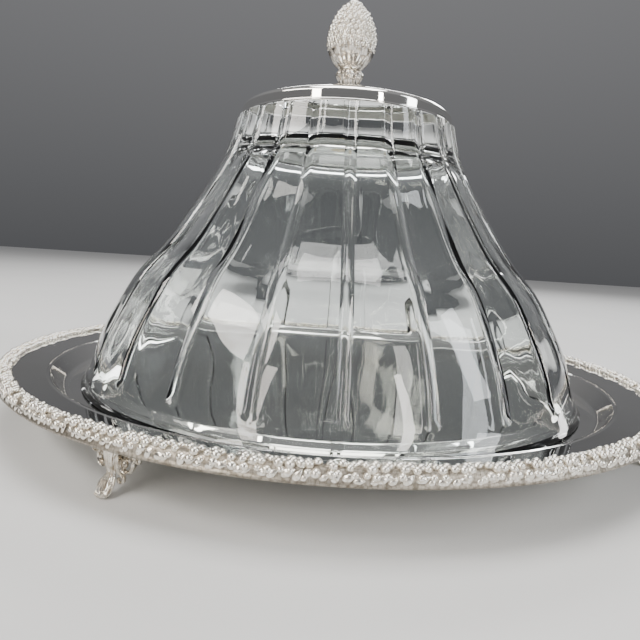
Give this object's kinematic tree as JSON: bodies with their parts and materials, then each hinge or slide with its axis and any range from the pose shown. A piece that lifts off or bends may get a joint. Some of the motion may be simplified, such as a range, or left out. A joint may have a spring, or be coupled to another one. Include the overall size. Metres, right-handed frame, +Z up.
{
  "type": "cheese dome",
  "caption": "Lift-off fluted glass bell with a plated cap and knob, standing in the well of a round footed tray with a cast border.",
  "frame": {"origin": "on the table, under the middle of the tray", "axes": "+Z up along the dome's axis; -Y is the front"},
  "size_m": [0.334, 0.334, 0.2183],
  "materials": {
    "polished_silver": "mirror-polished silver plate",
    "cast_silver": "bright cast silver plate, slightly darker in the recesses",
    "clear_glass": "thick clear pressed glass with cut flutes",
    "brass": "plain turned",
    "cement": "matt setting cement",
    "gasket": "soft translucent white"
  },
  "bodies": {
    "tray": {"tray_dish": "polished_silver", "tray_border": "cast_silver", "foot_left_front": "cast_silver", "foot_right_front": "cast_silver", "foot_right_back": "cast_silver", "foot_left_back": "cast_silver"},
    "dome": {"glass_dome": "clear_glass", "cap_shell": "polished_silver", "cement_ring": "cement", "cap_gasket": "gasket", "knob_rosette": "cast_silver", "knob": "cast_silver", "knob_stud": "brass", "stud_washer": "brass", "stud_nut": "brass"}
  },
  "joints": [
    {"name": "dome_lift", "type": "slide", "parent": "tray", "child": "dome", "axis": [0, 0, 1], "range_m": [0, 0.18]}
  ]
}
